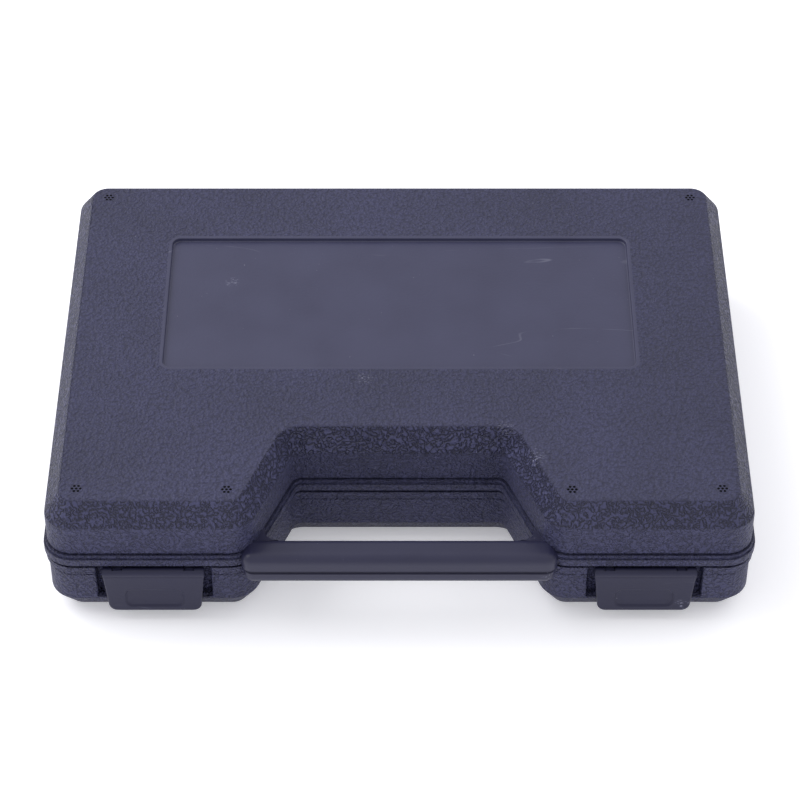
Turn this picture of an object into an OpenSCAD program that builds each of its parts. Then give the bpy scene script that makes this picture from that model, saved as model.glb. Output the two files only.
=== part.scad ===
/* [Case shell] */
// Overall width of the closed case over its rims
case_w = 240; // [210:1:300]
// Depth of the closed case over its rims, without the carrying handle
case_d = 174.8; // [150:0.2:230]
// Height of each half, from the seam to its flat outer face
half_h = 25; // [23:0.5:34]
// Wall thickness of both moulded halves
wall = 2; // [1.6:0.1:2.6]
// Width in plan of the bevel round the flat outer face
bevel_w = 5.3; // [3:0.1:7]
// Height of the bevel round the flat outer face
bevel_h = 8; // [5:0.5:9]
// Corner radius of the side walls
corner_r = 9; // [6:0.5:12]
// Corner radius of the flat outer face
face_corner_r = 5.5; // [3:0.5:9]
// Height of the rim on each side of the seam
rim_h = 4.7; // [3.5:0.1:6]
// Distance that the rim stands proud of the side walls
rim_out = 1.3; // [0.8:0.1:2]
// Height of the stepped-back strip at the rim's edge
rim_step_h = 1.4; // [0.8:0.1:2]
// Distance that the base's rim and handle stand back from the lid's
lip_in = 0.5; // [0.2:0.1:0.8]

/* [Handle] */
// Depth of the hand recess behind the front wall
recess_d = 35.4; // [30:0.2:42]
// Width of the hand recess at its back wall
recess_back_w = 72; // [66:1:84]
// Width of the hand recess at the front wall
recess_front_w = 101; // [94:1:104]
// Radius of the recess corners at its back wall
recess_r = 3.5; // [2:0.5:8]
// Radius of the corners at the recess mouth
mouth_r = 10; // [6:0.5:12]
// Overall length of the handle bar
handle_w = 106; // [104:1:112]
// Front-to-back depth of the handle bar
handle_d = 10.5; // [9:0.5:14]
// Height of each half of the handle bar
handle_h = 6.5; // [5:0.5:9]
// Distance that the bar stands proud of the front rim
handle_out = 2.7; // [1:0.1:4]
// Edge radius of the handle bar
handle_r = 3.6; // [2:0.2:4.4]
// Radius of the webs that join the handle bar to the recess walls
web_r = 5; // [3:0.5:8]

/* [Label panel] */
// Width of the plain sunk panel in the lid
panel_w = 165; // [140:1:180]
// Depth, front to back, of the plain sunk panel in the lid
panel_d = 68.2; // [50:0.2:80]
// Distance from the case centre back to the panel centre
panel_y = 18.1; // [10:0.1:20]
// Sink of the panel below the lid's face
panel_sink = 1.5; // [0.8:0.1:2]

/* [Latches] */
// Distance from the case centre to each latch centre
latch_x = 82.8; // [76:0.1:86]
// Width of each latch
latch_w = 34.2; // [28:0.2:36]
// Height of each latch
latch_h = 19.1; // [16:0.1:19.6]
// Distance that each side of a latch draws in towards its foot
latch_taper = 1.6; // [0:0.1:3]
// Width of the shallow thumb grip in each latch
thumb_w = 20.6; // [14:0.2:24]
// Height of the shallow thumb grip in each latch
thumb_h = 9; // [5:0.5:11]
// Gap beside each latch in its pocket
latch_gap = 2.3; // [1.5:0.1:3]
// Thickness of the latch's face and cheeks
latch_t = 1.8; // [1.4:0.1:2.2]
// Distance that the latch face stands proud of the rim
latch_out = 1.6; // [1.2:0.1:2.2]
// Radius of the steel latch pins
latch_pin_r = 0.6; // [0.5:0.05:0.65]

/* [Hinges] */
// Distance from the case centre to each hinge centre
hinge_x = 70; // [50:1:85]
// Length of one hinge knuckle
knuckle_w = 10; // [7:0.5:12]
// Number of knuckles in a hinge, the base owning the outer ones
knuckles = 5; // [3:2:7]
// Outer radius of the knuckles
knuckle_r = 2.8; // [2.5:0.1:3.2]
// Radius of the steel hinge pins
hinge_pin_r = 1.2; // [1:0.1:1.4]

/* [Tray] */
// Height of the tray's deck above the underside of the case
deck_z = 23.5; // [22:0.5:24]
// Thickness of the tray's deck
deck_t = 1.8; // [1.4:0.1:2.2]
// Wall thickness of the wells under the deck
well_t = 1.2; // [1:0.1:1.5]
// Thickness of the foam pad in the lid
pad_t = 11; // [6:0.5:12]

/* [Sockets and bits] */
// Length of the sockets
socket_h = 25; // [22:0.5:26]
// Distance between socket centres
socket_pitch = 22; // [20.5:0.5:23]
// Side of the square drive
drive = 6.35; // [6.3:0.05:6.4]
// Length of the square drive
drive_h = 7.5; // [7:0.1:8.5]
// Length of the driver bits
bit_h = 25; // [22:0.5:26]
// Distance between bit centres in a rack
bit_pitch = 10.5; // [9.5:0.5:12]

/* [Ratchet and handles] */
// Radius of the ratchet head
head_r = 13; // [12.6:0.1:14]
// Thickness of the ratchet head
head_t = 11; // [10.5:0.1:12]
// Length of the ratchet from head centre to handle end
ratchet_l = 132; // [115:1:140]
// Number of teeth on the ratchet's drive gear
gear_teeth = 36; // [24:4:48]
// Outer radius of the drive gear
gear_r = 6.6; // [6.2:0.1:6.8]
// Radius of the screwdriver-type grip of the spinner handle
grip_r = 10; // [8:0.5:11]
// Length of the spinner handle's grip
grip_l = 82; // [70:1:90]
// Length of the long extension bar
long_bar_l = 100; // [80:1:106]
// Length of the short extension bar
short_bar_l = 50; // [40:1:52]
// Radius of the extension bars
bar_r = 4; // [3.8:0.1:4.5]
// Length of the sliding T-bar
tbar_l = 104; // [90:1:108]

/* [Clearances] */
// Running clearance on the radius of a pin
pin_play = 0.05; // [0.03:0.01:0.08]
// Loose clearance round a stored tool, and round the tray
store_play = 0.5; // [0.3:0.1:0.8]
// Gap kept between moving mouldings
move_gap = 0.3; // [0.2:0.05:0.5]
// Clearance on the flat of a square or hexagon fit
fit_play = 0.05; // [0.03:0.01:0.1]

/* [Hidden] */
$fn = 48;
arc_steps = 8;
eps = 0.01;

SOCKETS = [["socket_5mm", 5, 11.5], ["socket_5_5mm", 5.5, 11.5], ["socket_6mm", 6, 11.5],
    ["socket_7mm", 7, 11.8], ["socket_8mm", 8, 12], ["socket_9mm", 9, 13],
    ["socket_10mm", 10, 14.2], ["socket_11mm", 11, 15.6], ["socket_12mm", 12, 16.8],
    ["socket_13mm", 13, 18]];
BITS = [["bit_cross_1", "cross", 4.5], ["bit_cross_2", "cross", 6], ["bit_cross_3", "cross", 6.2],
    ["bit_slot_4", "slot", 4], ["bit_slot_5", "slot", 5], ["bit_slot_6", "slot", 6],
    ["bit_hex_3", "hex", 3], ["bit_hex_4", "hex", 4], ["bit_hex_5", "hex", 5],
    ["bit_star_15", "star", 3.3], ["bit_star_20", "star", 3.9], ["bit_star_25", "star", 4.4]];
HEX_KEYS = [["hex_key_4mm", 4, 50], ["hex_key_3mm", 3, 43], ["hex_key_2mm", 2, 36]];
SIDES = [["left", -1], ["right", 1]];

// Side walls, seam and the planes inside the shell
wall_x = case_w / 2 - rim_out;
wall_y = case_d / 2 - rim_out;
seam_z = half_h;
case_top = 2 * half_h;
bevel_len = norm([bevel_w, bevel_h]);
recess_y = recess_d - wall_y;
PLAN = [[-wall_x, -wall_y], [-recess_front_w / 2, -wall_y], [-recess_back_w / 2, recess_y],
    [recess_back_w / 2, recess_y], [recess_front_w / 2, -wall_y], [wall_x, -wall_y],
    [wall_x, wall_y], [-wall_x, wall_y]];
PLAN_R = [corner_r, mouth_r, recess_r, recess_r, mouth_r, corner_r, corner_r, corner_r];
CONCAVE = [0, 0, 1, 1, 0, 0, 0, 0];

// Latch pivot and pocket; depths below the seam are counted downwards
latch_face_y = -case_d / 2 - latch_out;
latch_top = 1.1;
barrel_r = latch_t + 0.1;
latch_pivot_drop = latch_top + barrel_r;
latch_pivot_y = latch_face_y + barrel_r;
latch_skin = 0.6;
lug_r = barrel_r - latch_skin - 0.2;
lug_w = 3;
lug_x = latch_w / 2 - 5;
latch_foot_r = 3;
latch_rib_low = 6;
lug_reach = barrel_r + move_gap + 1.3;
pocket_y = latch_pivot_y + lug_reach + 2 * move_gap;
pocket_h = half_h - bevel_h - 1;
pocket_w = latch_w + 2 * latch_gap;
catch_z = 12;
catch_h = 1.5;
catch_out = 1.4;

// Hinge axis
hinge_y = case_d / 2 + knuckle_r + 2 * move_gap;
hinge_w = knuckles * knuckle_w;

// Fixed sizes of the tools' ends, shanks and small fittings
handle_grip_r = 6.5;
shank_x = 46;
cover_r = head_r - 1.2;
gear_shaft_r = 5;
pawl_r = 2.3;
pawl_play = 0.2;
pawl_x = gear_r + pawl_r + 0.25;
gear_tooth = 0.65;
gear_low = 2;
axle_r = 2.9;
axle_dimple_r = 1.2;
shoulder_h = 0.2;
ball_r = 1.2;
ball_sink = 0.8;
neck_w = 9;
neck_x = head_r - 3;
neck_step = 1.5;
shank_r = 4;
flute_r = 2;
flute_depth = 0.8;
flute_start = 6;
screw_angle = 120;
screw_ring = 9.6;
screw_r = 0.9;
screw_l = 5;
screw_head_r = 1.6;
screw_sink = 0.8;
screw_slot_w = 0.4;
screw_slot_l = 2.2;
lever_turn = 20;
lever_stem_r = 1.7;
lever_boss_r = 3;
lever_l = 9;
lever_w = 3.2;
lever_t = 1.8;
socket_end_r = 5.8;
socket_end_l = 14;
socket_foot_r = 5.75;
collar_low = 10;
collar_h = 3;
collar_r = 5.9;
groove_h = 1;
groove_cut = 0.5;
through_r = 2.2;
drive_hole_h = 9;
peg_w = drive - 0.2;
peg_h = 7;
hex_hole_h = 10;
tip_h = 8;
blade_t = 2.4;
bar_collar = 0.8;
bar_end_l = 3;
tbar_r = bar_r - 0.5;
shank_end = 10;
grip_step = 3;
grip_flute_r = 3.4;
grip_flute_depth = 1.4;
spinner_l = 150;
tbar_head_w = 12;
adapter_l = 25;

// Tray planes
floor_z = wall;
deck_low = deck_z - deck_t;
well_floor = 9;
tray_in = wall + store_play;
pad_low = case_top - wall - pad_t;
// Rows of tools, from the back of the tray to its front
row_gap = 2 * well_t + 2.8;
edge_x = wall_x - tray_in - well_t - 3;
head_z = deck_z - 5;
head_top = head_z + head_t;
gear_floor = head_z + gear_low;
cover_t = 1.4;
gear_h = head_t - cover_t - gear_low - 2 * fit_play;
ratchet_x = head_r - edge_x;
ratchet_y = wall_y - tray_in - well_t - 3 - head_r;
grip_z = head_z + head_t / 2;
spinner_y = ratchet_y - head_r - row_gap - grip_r;
spinner_z = deck_z + 0.5;
spinner_x = -edge_x;
bars_y = spinner_y - grip_r - row_gap - tbar_head_w / 2 - 1;
bars_z = deck_z + bar_r - store_play;
long_bar_x = -edge_x;
tbar_x = edge_x - tbar_l;
short_bar_x = edge_x - short_bar_l;
short_bar_y = ratchet_y;
biggest_r = SOCKETS[len(SOCKETS) - 1][2] / 2;
sockets_y = bars_y - tbar_head_w / 2 - row_gap - biggest_r - 3;
rack_d = 10;
rack_h = 14;
rack_bits = len(BITS) / 2;
rack_w = bit_pitch * rack_bits + 2;
rack_floor = 2;
rack_x = edge_x - rack_w / 2 - 2;
bits_y = sockets_y - biggest_r - row_gap - rack_d / 2 - 7;
// Bays either side of the hand recess
bay_in = recess_back_w / 2 + (recess_front_w - recess_back_w) / 4 + tray_in + well_t + 3;
bay_x = (edge_x + bay_in) / 2;
bay_y = (recess_y - wall + pocket_y) / 2;
key_bay_d = 22;
key_step = 5;
key_floor = deck_z - 4.5;
slot_r = 1.5;

function unit(v) = v / norm(v);
function at(list, i) = list[(i + len(list)) % len(list)];
// Moves every side of a closed outline to its left by d
function inset(pts, d) = [for (i = [0 : len(pts) - 1])
    let (a = unit(pts[i] - at(pts, i - 1)), b = unit(at(pts, i + 1) - pts[i]),
         na = [-a.y, a.x], nb = [-b.y, b.x])
    pts[i] + d * (na + nb) / (1 + na * nb)];
// Arc of radius r that rounds the corner q between p and s
function corner_arc(p, q, s, r) =
    let (a = unit(p - q), b = unit(s - q), half = acos(a * b) / 2,
         c = q + unit(a + b) * r / sin(half),
         u = q + a * r / tan(half) - c, v = q + b * r / tan(half) - c,
         start = atan2(u.y, u.x), sweep = atan2(cross(u, v), u * v))
    [for (i = [0 : arc_steps]) c + r * [cos(start + sweep * i / arc_steps),
                                       sin(start + sweep * i / arc_steps)]];
function rounded(pts, radii) = [for (i = [0 : len(pts) - 1])
    each radii[i] == 0 ? [pts[i]]
        : corner_arc(at(pts, i - 1), pts[i], at(pts, i + 1), radii[i])];
function box_pts(w, d) = [[-w, -d] / 2, [w, -d] / 2, [w, d] / 2, [-w, d] / 2];
function rounded_box(w, d, r) = rounded(box_pts(w, d), [r, r, r, r]);
// Case outline with its hand recess, d inside the side walls
function case_plan(d) = rounded(inset(PLAN, d),
    [for (i = [0 : len(PLAN) - 1]) max(0.5, PLAN_R[i] + (CONCAVE[i] == 1 ? d : -d))]);
// Outline of the recess alone, grown by g and running out past the front
function recess_plan(g) = let (run = 20, slope = (recess_front_w - recess_back_w) / 2 / recess_d)
    rounded(inset([[-recess_front_w / 2 - slope * run, -wall_y - run],
        [recess_front_w / 2 + slope * run, -wall_y - run],
        [recess_back_w / 2, recess_y], [-recess_back_w / 2, recess_y]], -g),
        [0, 0, recess_r + g, recess_r + g]);

// Sideways move of the bevel that keeps a wall d thick, and the height of its lower edge
function bevel_shift(d) = d * bevel_len / bevel_h;
function knee_z(d) = half_h - bevel_h - (bevel_shift(d) - d) * bevel_h / bevel_w;
// How far the bevel has come in from the side walls at height z
function bevel_in(z, d) = bevel_shift(d) + bevel_w * (z - half_h + bevel_h) / bevel_h;

// One half as a solid block, d inside its true outside, with the seam at z = 0
module half_block(d) {
    top = half_h - d;
    difference() {
        intersection() {
            hull() {
                translate([0, 0, -eps])
                    linear_extrude(knee_z(d) + eps)
                        polygon(rounded_box(2 * (wall_x - d), 2 * (wall_y - d), corner_r - d));
                translate([0, 0, top - eps])
                    linear_extrude(eps)
                        polygon(rounded_box(2 * (wall_x - bevel_in(top, d)),
                            2 * (wall_y - bevel_in(top, d)), face_corner_r));
            }
            translate([0, 0, -eps]) linear_extrude(half_h + 2 * eps) polygon(case_plan(d));
        }
        hull() {
            translate([0, 0, knee_z(d)]) linear_extrude(eps) polygon(recess_plan(d));
            translate([0, 0, half_h]) linear_extrude(eps) polygon(recess_plan(bevel_in(half_h, d)));
        }
    }
}

// Half of the handle bar, back by d from its full outline, with its flat side on the seam
module handle_half(d) {
    bar_y = -case_d / 2 - handle_out + handle_d / 2;
    bar_w = handle_w - 2 * d;
    bar_d = handle_d - 2 * d;
    intersection() {
        translate([-bar_w / 2, bar_y, 0]) rotate([90, 0, 90])
            linear_extrude(bar_w)
                polygon(rounded([[-bar_d / 2, 0], [bar_d / 2, 0],
                    [bar_d / 2, handle_h], [-bar_d / 2, handle_h]],
                    [0, 0, handle_r, handle_r]));
        translate([0, bar_y, -eps])
            linear_extrude(handle_h + 1) polygon(rounded_box(bar_w, bar_d, handle_r));
    }
}

// Webs that fill the corners between the handle bar's back edge and the recess walls
module handle_webs() {
    bar_back = -case_d / 2 - handle_out + handle_d - lip_in;
    slope = (recess_front_w - recess_back_w) / 2 / recess_d;
    foot = recess_front_w / 2 - (bar_back + wall_y) * slope;
    intersection() {
        for (s = SIDES) linear_extrude(rim_h + (handle_h - rim_h) / 2)
            polygon(concat([[s[1] * (foot + wall), bar_back - wall]],
                corner_arc([0, bar_back], [s[1] * foot, bar_back],
                    [s[1] * (foot - slope * recess_d), bar_back + recess_d], web_r)));
        linear_extrude(handle_h) polygon(case_plan(-2 * web_r - wall));
    }
}

// Channel that lightens a handle half from the seam side
module handle_channel() {
    bar_y = -case_d / 2 - handle_out + handle_d / 2;
    translate([0, bar_y, -eps])
        linear_extrude(handle_h - wall)
            polygon(rounded_box(recess_front_w - 8 * wall, handle_d - 2 * (wall + lip_in), 1));
}

// Shell shared by both halves: outside, rim set back by d, and handle, less the hollow
module half_shell(d) {
    difference() {
        union() {
            intersection() {
                half_block(0);
                translate([-case_w, -case_d, 0]) cube([2 * case_w, 2 * case_d, half_h]);
            }
            linear_extrude(rim_h) polygon(case_plan(-(rim_out - d) / 2));
            linear_extrude(rim_h - rim_step_h) polygon(case_plan(d - rim_out));
            handle_half(d);
            handle_webs();
        }
        half_block(wall);
        handle_channel();
    }
}

// Knuckles from one half: first is 0 for the base's and 1 for the lid's, up is +1 or -1
module knuckle_row(first, up) {
    for (s = SIDES) for (i = [first : 2 : knuckles - 1])
        translate([s[1] * hinge_x - hinge_w / 2 + i * knuckle_w + move_gap / 2, hinge_y, 0])
            rotate([0, 90, 0]) difference() {
                union() {
                    cylinder(r = knuckle_r, h = knuckle_w - move_gap);
                    translate([up > 0 ? -knuckle_r : 0, -knuckle_r - 2 * move_gap - rim_out, 0])
                        cube([knuckle_r, knuckle_r + 2 * move_gap + rim_out, knuckle_w - move_gap]);
                }
                translate([0, 0, -1])
                    cylinder(r = hinge_pin_r + pin_play, h = knuckle_w + 2);
            }
}

// Block of space, seam at z = 0 and depth upwards, that a latch pocket and its walls take up
module pocket_block(side, front) {
    translate([side * latch_x - pocket_w / 2 - wall, front, -1])
        cube([pocket_w + 2 * wall, pocket_y + wall - front, pocket_h + wall + 1]);
}

module base_shell() {
    color([0.22, 0.22, 0.30]) translate([0, 0, seam_z]) {
        mirror([0, 0, 1]) difference() {
            half_shell(lip_in);
            for (s = SIDES) pocket_block(s[1], -case_d);
        }
        knuckle_row(0, -1);
    }
}

// Stretch of the base's front wall that steps in behind a latch, with the catch across its back
module latch_pocket(side) {
    color([0.22, 0.22, 0.30]) translate([0, 0, seam_z]) mirror([0, 0, 1]) difference() {
        union() {
            intersection() {
                half_shell(lip_in);
                pocket_block(side, -case_d);
            }
            intersection() {
                pocket_block(side, -wall_y + wall / 2);
                translate([-case_w, -case_d, 0]) cube([2 * case_w, 2 * case_d, half_h]);
            }
        }
        difference() {
            translate([side * latch_x - pocket_w / 2, -case_d, -1])
                cube([pocket_w, pocket_y + case_d, pocket_h + 1]);
            translate([side * latch_x - latch_w / 4, pocket_y - catch_out, catch_z])
                cube([latch_w / 2, catch_out + 1, catch_h]);
        }
    }
}

module lid_shell() {
    color([0.30, 0.30, 0.39]) translate([0, 0, seam_z]) {
        difference() {
            union() {
                half_shell(0);
                translate([0, panel_y, half_h - panel_sink - wall])
                    linear_extrude(panel_sink) polygon(rounded_box(panel_w + 4, panel_d + 4, 5));
            }
            translate([0, panel_y, half_h - panel_sink])
                linear_extrude(panel_sink + 1) polygon(rounded_box(panel_w, panel_d, 3));
        }
        knuckle_row(1, 1);
        for (s = SIDES) for (side = [-1, 1])
            translate([s[1] * latch_x + side * lug_x, 0, 0]) latch_lug();
    }
}

// Hooked ear under the lid's rim: it comes down behind the latch and forward to the pin
module latch_lug() {
    translate([-lug_w / 2, latch_pivot_y, -latch_pivot_drop]) rotate([90, 0, 90]) difference() {
        union() {
            cylinder(r = lug_r, h = lug_w);
            translate([0, -lug_r, 0]) cube([lug_reach, lug_r + move_gap, lug_w]);
            translate([barrel_r + move_gap, -lug_r, 0])
                cube([lug_reach - barrel_r - move_gap, lug_r + latch_pivot_drop + 1, lug_w]);
        }
        translate([0, 0, -1]) cylinder(r = latch_pin_r + pin_play, h = lug_w + 2);
    }
}

// Latch: a face plate that hangs from a barrel round its pin, with a hook behind
module latch(side) {
    low = barrel_r - latch_h;
    hook_y = pocket_y - latch_pivot_y - catch_out - move_gap;
    hook_z = latch_pivot_drop - catch_z - catch_h - move_gap;
    color([0.27, 0.27, 0.35]) translate([side * latch_x, latch_pivot_y, seam_z - latch_pivot_drop])
        difference() {
            union() {
                rotate([0, 90, 0]) cylinder(r = barrel_r, h = latch_w, center = true);
                intersection() {
                    translate([-latch_w / 2, -barrel_r, low]) cube([latch_w, latch_t, -low]);
                    rotate([90, 0, 0]) linear_extrude(4 * barrel_r, center = true)
                        polygon(rounded([[-latch_w / 2 + latch_taper, low],
                            [latch_w / 2 - latch_taper, low], [latch_w / 2, barrel_r],
                            [-latch_w / 2, barrel_r]], [latch_foot_r, latch_foot_r, 0, 0]));
                }
                for (end = [-1, 1]) translate([end * (latch_w / 2 - 2 * latch_t) - latch_t / 2,
                        -barrel_r + latch_t - eps, low + latch_rib_low])
                    cube([latch_t, latch_t, latch_h - 2 * latch_rib_low]);
                translate([-latch_w / 4, -barrel_r + latch_t - eps, hook_z - catch_h])
                    cube([latch_w / 2, hook_y + barrel_r - latch_t, catch_h]);
            }
            rotate([0, 90, 0]) cylinder(r = latch_pin_r + pin_play, h = 2 * latch_w, center = true);
            for (end = [-1, 1]) translate([end * lug_x - lug_w / 2 - move_gap,
                    latch_skin - barrel_r, -lug_r - 2 * move_gap])
                cube([lug_w + 2 * move_gap, 4 * barrel_r, lug_r + 2 * move_gap + barrel_r + 1]);
            translate([0, -barrel_r - eps, low + latch_t + thumb_h / 2]) rotate([-90, 0, 0])
                linear_extrude(latch_t / 3) polygon(rounded_box(thumb_w, thumb_h, latch_foot_r));
        }
}

module latch_pin(side) {
    color([0.7, 0.7, 0.72])
        translate([side * latch_x - latch_w / 2 + move_gap, latch_pivot_y, seam_z - latch_pivot_drop])
            rotate([0, 90, 0]) cylinder(r = latch_pin_r, h = latch_w - 2 * move_gap);
}

module hinge_pin(side) {
    color([0.7, 0.7, 0.72]) translate([side * hinge_x - hinge_w / 2, hinge_y, seam_z])
        rotate([0, 90, 0]) cylinder(r = hinge_pin_r, h = hinge_w);
}

// A straight slot in the tray: centre, size in plan, floor height, all grown by g
module slot(x, y, w, d, low, g) {
    translate([x, y, low - g])
        linear_extrude(case_top) polygon(rounded_box(w + 2 * g, d + 2 * g, slot_r + g));
}

module round_well(x, y, r, low, g) {
    translate([x, y, low - g]) cylinder(r = r + g, h = case_top);
}

// Slot for a bar that lies along X from x, reach below the bars' axis
module bar_slot(x, y, l, reach, g) {
    slot(x + l / 2, y, l + 2 * store_play, tbar_head_w + 2 * store_play,
        bars_z - reach - store_play, g);
}

// Every pocket of the tray, grown by g: the hollows themselves or the wells round them
module tray_pockets(g) {
    slot(0, sockets_y, (len(SOCKETS) - 1) * socket_pitch + 2 * (biggest_r + 2 * store_play),
        2 * (biggest_r + 2 * store_play), well_floor, g);
    round_well(ratchet_x, ratchet_y, head_r + store_play, head_z, g);
    round_well(ratchet_x, ratchet_y, drive, head_z - drive_h - store_play, g);
    slot(ratchet_x + ratchet_l / 2, ratchet_y, ratchet_l + 2 * store_play,
        2 * (handle_grip_r + store_play), grip_z - handle_grip_r - store_play, g);
    slot(spinner_x + spinner_l / 2, spinner_y, spinner_l + 2 * store_play,
        2 * (grip_r + store_play), spinner_z - grip_r - store_play, g);
    bar_slot(long_bar_x, bars_y, long_bar_l, socket_end_r, g);
    bar_slot(tbar_x, bars_y, tbar_l, tbar_head_w / 2 + drive_h, g);
    bar_slot(short_bar_x, short_bar_y, short_bar_l, socket_end_r, g);
    bar_slot(bay_x - adapter_l / 2, bay_y, adapter_l, socket_end_r, g);
    for (s = SIDES) slot(s[1] * rack_x, bits_y, rack_w + 2 * store_play, rack_d + 2 * store_play,
        well_floor, g);
    slot(-bay_x, bay_y, HEX_KEYS[0][2] + 5, key_bay_d, key_floor, g);
}

function socket_x(i) = (i - (len(SOCKETS) - 1) / 2) * socket_pitch;

module tool_tray() {
    color([0.16, 0.16, 0.18]) difference() {
        intersection() {
            union() {
                translate([0, 0, deck_low]) linear_extrude(deck_t) polygon(case_plan(tray_in));
                difference() {
                    translate([0, 0, well_floor])
                        linear_extrude(deck_z - well_floor) polygon(case_plan(tray_in));
                    translate([0, 0, well_floor - 1])
                        linear_extrude(deck_z) polygon(case_plan(tray_in + well_t));
                }
                tray_pockets(well_t);
            }
            translate([0, 0, floor_z])
                linear_extrude(deck_z - floor_z) polygon(case_plan(tray_in));
        }
        tray_pockets(0);
        for (s = SIDES) translate([s[1] * latch_x - pocket_w / 2 - wall - store_play, -case_d, 0])
            cube([pocket_w + 2 * (wall + store_play), case_d + pocket_y + wall + store_play, case_top]);
    }
    // Pegs in the sockets' square holes hold them upright in their trough
    color([0.16, 0.16, 0.18]) for (i = [0 : len(SOCKETS) - 1])
        translate([socket_x(i) - peg_w / 2, sockets_y - peg_w / 2, well_floor - eps])
            cube([peg_w, peg_w, peg_h]);
}

module square_drive(h) {
    translate([0, 0, h / 2]) cube([drive, drive, h], center = true);
}

module lid_foam() {
    color([0.2, 0.2, 0.22]) translate([0, 0, pad_low])
        linear_extrude(pad_t - panel_sink - store_play)
            polygon(case_plan(bevel_w + wall + 2));
}

module hexagon(flats, h) {
    cylinder(r = flats / 2 / cos(30), h = h, $fn = 6);
}

module socket(i) {
    flats = SOCKETS[i][1];
    body_r = SOCKETS[i][2] / 2;
    waist_r = min(body_r, collar_r);
    color([0.78, 0.78, 0.8]) translate([socket_x(i), sockets_y, well_floor]) difference() {
        union() {
            cylinder(r = socket_foot_r, h = collar_low);
            translate([0, 0, collar_low - eps]) cylinder(r = waist_r - groove_cut, h = collar_h);
            translate([0, 0, collar_low + groove_h]) cylinder(r = waist_r, h = collar_h - groove_h);
            translate([0, 0, collar_low + collar_h - eps])
                cylinder(r = body_r, h = socket_h - collar_low - collar_h + eps);
        }
        drive_hole();
        cylinder(r = through_r, h = socket_h - hex_hole_h + 1);
        translate([0, 0, socket_h - hex_hole_h]) hexagon(flats + 2 * fit_play, hex_hole_h + 1);
    }
}

// Square hole for a drive, open at z = 0 and running up
module drive_hole() {
    side = drive + 2 * fit_play;
    translate([-side / 2, -side / 2, -1]) cube([side, side, drive_hole_h + 1]);
}

// Ratchet: the body lies flat with its drive pointing down into the tray
module ratchet_handle() {
    color([0.75, 0.75, 0.78]) translate([ratchet_x, ratchet_y, head_z]) difference() {
        union() {
            cylinder(r = head_r, h = head_t);
            translate([neck_x, -neck_w / 2, neck_step])
                cube([shank_x - neck_x + shank_r, neck_w, head_t - 2 * neck_step]);
            translate([shank_x, 0, head_t / 2]) rotate([0, 90, 0])
                cylinder(r = shank_r, h = ratchet_l - shank_x - shank_r);
        }
        translate([0, 0, -1]) cylinder(r = gear_shaft_r + pin_play, h = head_t);
        translate([0, 0, gear_floor - head_z]) cylinder(r = gear_r + move_gap, h = head_t);
        translate([pawl_x, 0, gear_floor - head_z]) cylinder(r = pawl_r + pawl_play, h = head_t);
        translate([0, 0, head_t - cover_t]) cylinder(r = cover_r + fit_play, h = cover_t + 1);
        for (a = [-1, 1]) rotate([0, 0, a * screw_angle]) translate([screw_ring, 0, head_t - screw_l])
            cylinder(r = screw_r, h = screw_l + 1);
    }
}

module ratchet_grip() {
    grip_x = shank_x + shank_r;
    grip_len = ratchet_l - grip_x;
    color([0.12, 0.12, 0.14]) translate([ratchet_x + grip_x, ratchet_y, head_z + head_t / 2])
        rotate([0, 90, 0]) difference() {
            cylinder(r = handle_grip_r, h = grip_len);
            translate([0, 0, -1]) cylinder(r = shank_r + pin_play, h = grip_len - shank_r + 1);
            for (a = [0 : 60 : 300]) rotate([0, 0, a])
                translate([handle_grip_r + flute_r - flute_depth, 0, flute_start])
                    cylinder(r = flute_r, h = grip_len - 3 * flute_start + 2);
        }
}

module ratchet_cover() {
    color([0.82, 0.82, 0.84]) translate([ratchet_x, ratchet_y, head_top - cover_t]) difference() {
        cylinder(r = cover_r, h = cover_t);
        translate([0, 0, -1]) cylinder(r = axle_r + pin_play, h = 2 * cover_t);
        translate([pawl_x, 0, -1]) cylinder(r = lever_stem_r + pin_play, h = 2 * cover_t);
        for (a = [-1, 1]) rotate([0, 0, a * screw_angle]) translate([screw_ring, 0, -1]) {
            cylinder(r = screw_r + pin_play, h = 2 * cover_t);
            translate([0, 0, 1 + cover_t - screw_sink])
                cylinder(r = screw_head_r + pin_play, h = screw_sink + 1);
        }
    }
}

module cover_screws() {
    color([0.3, 0.3, 0.32]) translate([ratchet_x, ratchet_y, head_top])
        for (a = [-1, 1]) rotate([0, 0, a * screw_angle]) translate([screw_ring, 0, 0])
            difference() {
                union() {
                    translate([0, 0, -screw_sink]) cylinder(r = screw_head_r, h = screw_sink - 0.1);
                    translate([0, 0, 0.5 - screw_l]) cylinder(r = screw_r, h = screw_l - 1);
                }
                for (turn = [0, 90]) rotate([0, 0, turn]) translate([0, 0, -0.5])
                    linear_extrude(1) square([screw_slot_w, screw_slot_l], center = true);
            }
}

// Toothed drive gear with its square drive below and its axle end in the cover
module drive_gear() {
    color([0.6, 0.6, 0.63]) translate([ratchet_x, ratchet_y, head_z]) difference() {
        union() {
            translate([0, 0, gear_low + fit_play]) linear_extrude(gear_h)
                polygon([for (i = [0 : 2 * gear_teeth - 1]) (gear_r - (i % 2) * gear_tooth)
                    * [cos(i * 180 / gear_teeth), sin(i * 180 / gear_teeth)]]);
            translate([0, 0, -shoulder_h]) cylinder(r = gear_shaft_r, h = 2 * gear_low);
            translate([0, 0, -drive_h]) square_drive(drive_h);
            cylinder(r = axle_r, h = head_t);
        }
        translate([0, 0, head_t - 1]) cylinder(r = axle_dimple_r, h = 2);
        translate([0, -drive / 2 - eps, -drive_h / 2]) rotate([-90, 0, 0])
            cylinder(r = ball_r + pin_play, h = 2.5 * ball_r);
    }
}

module gear_detent_ball() {
    color([0.8, 0.8, 0.82])
        translate([ratchet_x, ratchet_y - drive / 2 + ball_sink, head_z - drive_h / 2])
            sphere(r = ball_r);
}

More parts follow.
